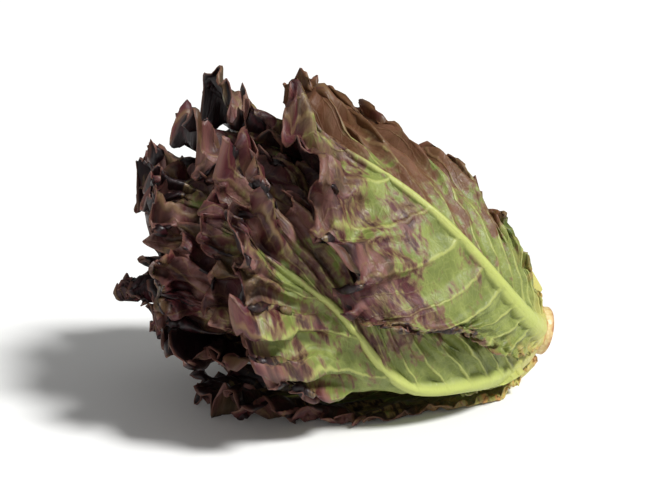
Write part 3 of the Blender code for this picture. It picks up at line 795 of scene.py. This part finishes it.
def leaf_material(leaf):
    """Lettuce leaf tissue: waxy skin over green and red cells, with pale veins."""
    surface = bpy.data.materials.new("lettuce_" + leaf.name())
    surface.use_nodes = True
    tree = surface.node_tree
    add = partial(node, tree)
    flat = add("ShaderNodeAttribute", attribute_name="flat").outputs["Vector"]
    across, along, back, rib, place, gap = (
        add("ShaderNodeAttribute", attribute_name=name).outputs["Fac"]
        for name in ("across", "along", "back", "rib", "vein_place", "vein_gap")
    )
    spots = {name: add(NOISE, flat, 1 / size, detail) for name, (size, detail) in SPOTS.items()}

    # how red the leaf is at each place
    start = RED_START.get(leaf.k, RED_START_LEAST + RED_START_SPREAD * leaf.phases[0])
    margin = add(MULTIPLY, add(POWER, across, 2.0), add(SOFT_STEP, along, 0.18, 0.42))
    reddening = add(ADD, add(MULTIPLY, along, 0.62), add(MULTIPLY, margin, 0.40))
    for size, strength in RED_PATCHES:
        patch = add(SUBTRACT, add(NOISE, flat, 1 / size, 3.0), 0.5)
        reddening = add(ADD, reddening, add(MULTIPLY, patch, strength))
    if (leaf.k, 1) in RED_SIDE:
        side = add("ShaderNodeAttribute", attribute_name="side").outputs["Fac"]
        side = add(SOFT_STEP, side, -1.0, 1.0)
        low, high = RED_SIDE[(leaf.k, -1)], RED_SIDE[(leaf.k, 1)]
        more = add(MULTIPLY_ADD, side, high - low, low)
        reddening = add(ADD, reddening, add(MULTIPLY, more, add(SOFT_STEP, along, 0.22, 0.48)))
    red = add(SOFT_STEP, reddening, start, start + RED_SPAN)

    # side veins, three finer ones for each, and the net between them
    wander = add(MULTIPLY, add(SUBTRACT, spots["vein"], 0.5), 0.30)
    bent = add(ADD, place, wander)
    first = add(MULTIPLY, add(PINGPONG, bent, 0.5), gap)
    first = add(SOFT_STEP, first, 0.0015, 0.0002)
    second = add(PINGPONG, add(MULTIPLY_ADD, bent, 3.0, 0.5), 0.5)
    second = add(MULTIPLY, second, add(MULTIPLY, gap, 0.333))
    second_shown = add(MULTIPLY, add(SOFT_STEP, across, 0.15, 0.7), 0.55)
    second = add(MULTIPLY, add(SOFT_STEP, second, 0.0006, 0.0001), second_shown)
    net = add("ShaderNodeTexVoronoi", flat, 1 / NET_SIZE, feature="DISTANCE_TO_EDGE").outputs["Distance"]
    net = add(MULTIPLY, add(SOFT_STEP, net, 0.09, 0.01), 0.20)
    veins = add(MAXIMUM, first, add(MAXIMUM, second, net))
    veins = add(MULTIPLY, veins, add(SUBTRACT, 1.0, rib))

    # the green, the dark red, and the blade between them
    green = add(MIX, back, GREEN_FRONT, GREEN_BACK)
    patch = add(MULTIPLY, add(SOFT_STEP, spots["green"], 0.40, 0.62), 0.6)
    green = add(MIX, patch, green, GREEN_PATCH)
    light = add(MULTIPLY, add(SOFT_STEP, spots["light"], 0.45, 0.60), 0.60)
    # the front is near black: partly its own darker red, partly painted shade for the hollows
    dark = add(MIX, back, RED_FRONT_AND_PAINTED_SHADE, add(MIX, light, RED_BACK, RED_LIGHT))
    deep = add(MULTIPLY, add(SOFT_STEP, spots["deep"], 0.44, 0.64), 0.65)
    dark = add(MIX, deep, dark, RED_FRONT_AND_PAINTED_SHADE)
    olive = add(MULTIPLY, add(SOFT_STEP, spots["olive"], 0.52, 0.66), add(MULTIPLY, back, 0.45))
    dark = add(MIX, olive, dark, OLIVE)
    if leaf.k in WARM_SIDE:
        dark = add(MIX, add(MULTIPLY, side, WARM_SIDE[leaf.k]), dark, RED_WARM)
    blade = add(MIX, add(MULTIPLY, red, 2.0, use_clamp=True), green, DUSK)
    blade = add(MIX, add(MULTIPLY_ADD, red, 2.0, -1.0, use_clamp=True), blade, dark)

    # veins, midrib, pale foot, rusty spots and the browned rim
    vein_colour = add(MIX, red, RIB_FAR, add(MIX, back, RED_BACK, RED_VEIN))
    blade = add(MIX, add(MULTIPLY, veins, 0.6), blade, vein_colour)
    rib_colour = add(MIX, add(SOFT_STEP, along, 0.35, 0.75), RIB_PALE, RIB_FAR)
    blade = add(MIX, add(SOFT_STEP, rib, 0.0, 0.75), blade, rib_colour)
    pale = add(SOFT_STEP, along, BASE_END.get(leaf.k, OTHER_BASE_END), 0.03)
    blade = add(MIX, add(MULTIPLY, pale, 0.85), blade, BASE_PALE)
    old_reach = add(SOFT_STEP, along, AGE_END.get(leaf.k, OTHER_AGE_END), 0.05)
    old = add(MULTIPLY, add(SOFT_STEP, spots["old"], 0.48, 0.62), old_reach)
    old = add(MULTIPLY, old, add(SOFT_STEP, across, 0.25, 0.8))
    old = add(MULTIPLY, old, AGE.get(leaf.k, OTHER_AGE))
    cut_edge = add(MULTIPLY, add(SOFT_STEP, along, 0.035, 0.0), 0.8)
    blade = add(MIX, add(MAXIMUM, old, cut_edge), blade, OXIDISED)
    rim = add(MULTIPLY, add(SOFT_STEP, across, 0.975, 0.995), 0.4)
    blade = add(MIX, rim, blade, EDGE_RUST)

    # wax in patches, and the fibres, veins and pits that are too fine for the mesh
    roughness = add(MULTIPLY_ADD, back, 0.08, add(MULTIPLY_ADD, spots["wax"], 0.50, 0.20))
    fibres = add("ShaderNodeMapping", flat, named={"Scale": (1.0, FIBRE_SQUEEZE, 1.0)})
    fibres = add(NOISE, fibres, 1 / FIBRE_SIZE, 2.0)
    height = add(MULTIPLY, add(MULTIPLY, fibres, add(SOFT_STEP, rib, 0.1, 0.5)), 0.5)
    height = add(ADD, height, add(MULTIPLY, veins, add(MULTIPLY_ADD, back, 1.2, -0.5)))
    height = add(ADD, height, add(MULTIPLY, spots["pits"], 0.35))
    height = add(ADD, height, add(MULTIPLY, spots["dents"], 1.1))
    bump = add("ShaderNodeBump", named={"Strength": 0.75, "Distance": 0.0007, "Height": height})
    feed(tree.nodes["Principled BSDF"], {
        "Base Color": blade,
        "Roughness": roughness,
        "Normal": bump,
        "Specular IOR Level": 0.4,
        "Subsurface Weight": 0.12,
        "Subsurface Radius": (0.9, 1.0, 0.4),
        "Subsurface Scale": 0.0015,
    })
    return surface


# %% [markdown]
# All fifteen leaves are grown from the outermost in. Each gets its own seed for its blisters.

# %% Grow the leaves
leaf_objects = []
for leaf in LEAVES:
    inputs = dict(LEAF_INPUTS, Seed=leaf.k, Material=leaf_material(leaf))
    piece = grow("fine_" + leaf.name(), middle_surface(leaf), SHEET_TO_LEAF, inputs)
    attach(piece, "root")
    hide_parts(leaf.name())
    leaf.name().rsplit("_", 1)[0]
    leaf_objects.append(piece)
triangles = [sum(len(p.vertices) - 2 for p in piece.data.polygons) for piece in leaf_objects]
print("triangles in the leaves:", sum(triangles), "most in one:", max(triangles))

# %% [markdown]
# The stem is a short turned cone that the knife has cut across. The cut has dried: its rim is
# brown and its middle sinks a little. Small cells mottle the pith.

# %% The stem
STEM_SIDES = 64
CUT_RINGS = 9
BARK_RINGS = 26
CUT_SINK = 0.0012
CUT_BEVEL = 0.0009
BARK_CROWDING = 1.2  # rings come closer near the cut
SCAR_DEPTH = 0.0004
BLOTCH_SIZE = 0.005
PITH_CELL = 0.0022
BROWN_DEPTH = 0.003
PITH_LIGHT = colour("#dccb98")
PITH_DARK = colour("#c4a964")
CUT_BROWN = colour("#9c5f33")


def stem_mesh():
    """Rings from the middle of the cut to its rim, then along the bark to the growing tip."""
    cut = np.linspace(0, 1, CUT_RINGS + 1)[1:]
    cut_radius = (STEM_RADIUS - CUT_BEVEL) * cut
    cut_t = CUT_SINK * np.cos(math.pi / 2 * cut) ** 2
    bark_t = CUT_BEVEL + (STEM_LENGTH - CUT_BEVEL) * np.linspace(0, 1, BARK_RINGS) ** BARK_CROWDING
    t = np.concatenate([cut_t, bark_t])[:, None]
    r = np.concatenate([cut_radius, stem_radius(bark_t)])[:, None]
    turn = np.linspace(0, 2 * math.pi, STEM_SIDES, endpoint=False)[None, :]
    on_bark = np.concatenate([np.zeros(CUT_RINGS), np.ones(BARK_RINGS)])[:, None]
    scars = np.sin(5 * turn + 260 * t) * np.sin(210 * t + 2 * turn)
    r = r - SCAR_DEPTH * on_bark * (1 + scars) / 2
    rings = head_point(turn + 0 * t, t + 0 * turn, r + 0 * turn)
    ends = head_point(np.zeros(2), np.array([CUT_SINK, STEM_LENGTH + STEM_TIP_RADIUS / 2]), np.zeros(2))
    count = rings.shape[0] * STEM_SIDES
    faces = []
    for n in range(STEM_SIDES):
        m = (n + 1) % STEM_SIDES
        faces.append((count, m, n))
        for ring in range(rings.shape[0] - 1):
            a, b = ring * STEM_SIDES + n, ring * STEM_SIDES + m
            faces.append((a, b, b + STEM_SIDES, a + STEM_SIDES))
        faces.append((count + 1, count - STEM_SIDES + n, count - STEM_SIDES + m))
    mesh = bpy.data.meshes.new("fine_stem")
    points = np.concatenate([rings.reshape(-1, 3), ends]) - ground_centre
    mesh.from_pydata(points.tolist(), [], faces)
    mesh.shade_smooth()
    mesh.set_sharp_from_angle(angle=math.radians(40))
    disc = np.concatenate([np.repeat(r[:, 0], STEM_SIDES), [0, 0]]) / STEM_RADIUS
    from_cut = np.concatenate([np.repeat(t[:, 0], STEM_SIDES), [CUT_SINK, STEM_LENGTH]])
    for name, values in (("disc", disc), ("from_cut", from_cut)):
        mesh.attributes.new(name, "FLOAT", "POINT").data.foreach_set("value", values)
    return mesh


def stem_material():
    """Lettuce stem: wet pale pith on the cut, browned by air at its rim, and the same pale colour on its
    bark.
    """
    surface = bpy.data.materials.new("lettuce_stem")
    surface.use_nodes = True
    tree = surface.node_tree
    add = partial(node, tree)
    place = add("ShaderNodeTexCoord").outputs["Object"]
    disc = add("ShaderNodeAttribute", attribute_name="disc").outputs["Fac"]
    depth = add("ShaderNodeAttribute", attribute_name="from_cut").outputs["Fac"]
    blotch = add(NOISE, place, 1 / BLOTCH_SIZE, 4.0)
    cells = add("ShaderNodeTexVoronoi", place, 1 / PITH_CELL).outputs["Distance"]
    rim = add("ShaderNodeMapRange", add(MULTIPLY_ADD, disc, blotch, 0.32), 0.55, 0.88)
    near = add("ShaderNodeMapRange", depth, BROWN_DEPTH, 0.0005)
    brown = add(MULTIPLY, rim, near)
    skin = add(MIX, brown, add(MIX, cells, PITH_LIGHT, PITH_DARK), CUT_BROWN)
    bump = add("ShaderNodeBump", named={"Strength": 0.5, "Distance": 0.0005, "Height": cells})
    feed(tree.nodes["Principled BSDF"], {"Base Color": skin, "Roughness": 0.42, "Normal": bump})
    return surface


stem = bpy.data.objects.new("fine_stem", stem_mesh())
bpy.context.scene.collection.objects.link(stem)
stem.data.materials.append(stem_material())
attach(stem, "root")
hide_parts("stem")
print("stem:", len(stem.data.polygons), "faces")

# %% [markdown]
# The studio. The photograph has a plain white ground and soft light. One large lamp, far away,
# up and to the right, makes the gloss on the curls and leaves the hollows dark. It lights the
# whole floor alike, so the ground stays white. The pale surroundings fill the shadows.

# %% Floor and lights
floor_mesh = bpy.data.meshes.new("floor")
floor_mesh.from_pydata([(-4, -4, 0), (4, -4, 0), (4, 4, 0), (-4, 4, 0)], [], [(0, 1, 2, 3)])
floor = bpy.data.objects.new("floor", floor_mesh)
bpy.context.scene.collection.objects.link(floor)
floor_paint = bpy.data.materials.new("floor_matt_white_paper")
floor_paint.use_nodes = True
floor_paint.node_tree.nodes["Principled BSDF"].inputs["Base Color"].default_value = colour("#f4f4f2")
floor_paint.node_tree.nodes["Principled BSDF"].inputs["Roughness"].default_value = 0.9
floor_mesh.materials.append(floor_paint)

world = bpy.data.worlds.new("studio")
world.use_nodes = True
world.node_tree.nodes["Background"].inputs["Color"].default_value = (1, 1, 1, 1)
world.node_tree.nodes["Background"].inputs["Strength"].default_value = 0.26
bpy.context.scene.world = world


def soft_sun(name, azimuth, elevation, strength, width):
    """A large far lamp, width degrees across, that shines from that side."""
    light = bpy.data.lights.new(name, "SUN")
    light.energy = strength
    light.angle = math.radians(width)
    lamp = bpy.data.objects.new(name, light)
    bpy.context.scene.collection.objects.link(lamp)
    a, e = math.radians(azimuth), math.radians(elevation)
    back = Vector((math.sin(a) * math.cos(e), -math.cos(a) * math.cos(e), math.sin(e)))
    lamp.rotation_euler = back.to_track_quat("Z", "Y").to_euler()


soft_sun("key", 40, 48, 4.1, 14)
soft_sun("fill", -25, 14, 0.4, 30)
print("lamps:", len(bpy.data.lights))

# %% [markdown]
# The camera stands where the photographer stood: a little left of the head's side, 13 degrees
# above the table. The distance and lens give the head the same size in the frame.

# %% Camera
CAMERA_AZIMUTH = math.radians(-12)
CAMERA_ELEVATION = math.radians(13)
CAMERA_DISTANCE = 1.1
FRAME_WIDTH = 0.406
SENSOR_WIDTH = 36
target = Vector((-0.137, 0.0, 0.093)) - Vector(ground_centre)
back = Vector((
    math.sin(CAMERA_AZIMUTH) * math.cos(CAMERA_ELEVATION),
    -math.cos(CAMERA_AZIMUTH) * math.cos(CAMERA_ELEVATION),
    math.sin(CAMERA_ELEVATION),
))
camera = bpy.data.objects.new("camera", bpy.data.cameras.new("camera"))
bpy.context.scene.collection.objects.link(camera)
camera.location = target + CAMERA_DISTANCE * back
camera.rotation_euler = back.to_track_quat("Z", "Y").to_euler()
camera.data.sensor_width = SENSOR_WIDTH
camera.data.lens = SENSOR_WIDTH * CAMERA_DISTANCE / FRAME_WIDTH
bpy.context.scene.camera = camera
bpy.context.scene.view_settings.view_transform = "Standard"
print("camera stands at, in metres:", [round(c, 3) for c in camera.location])
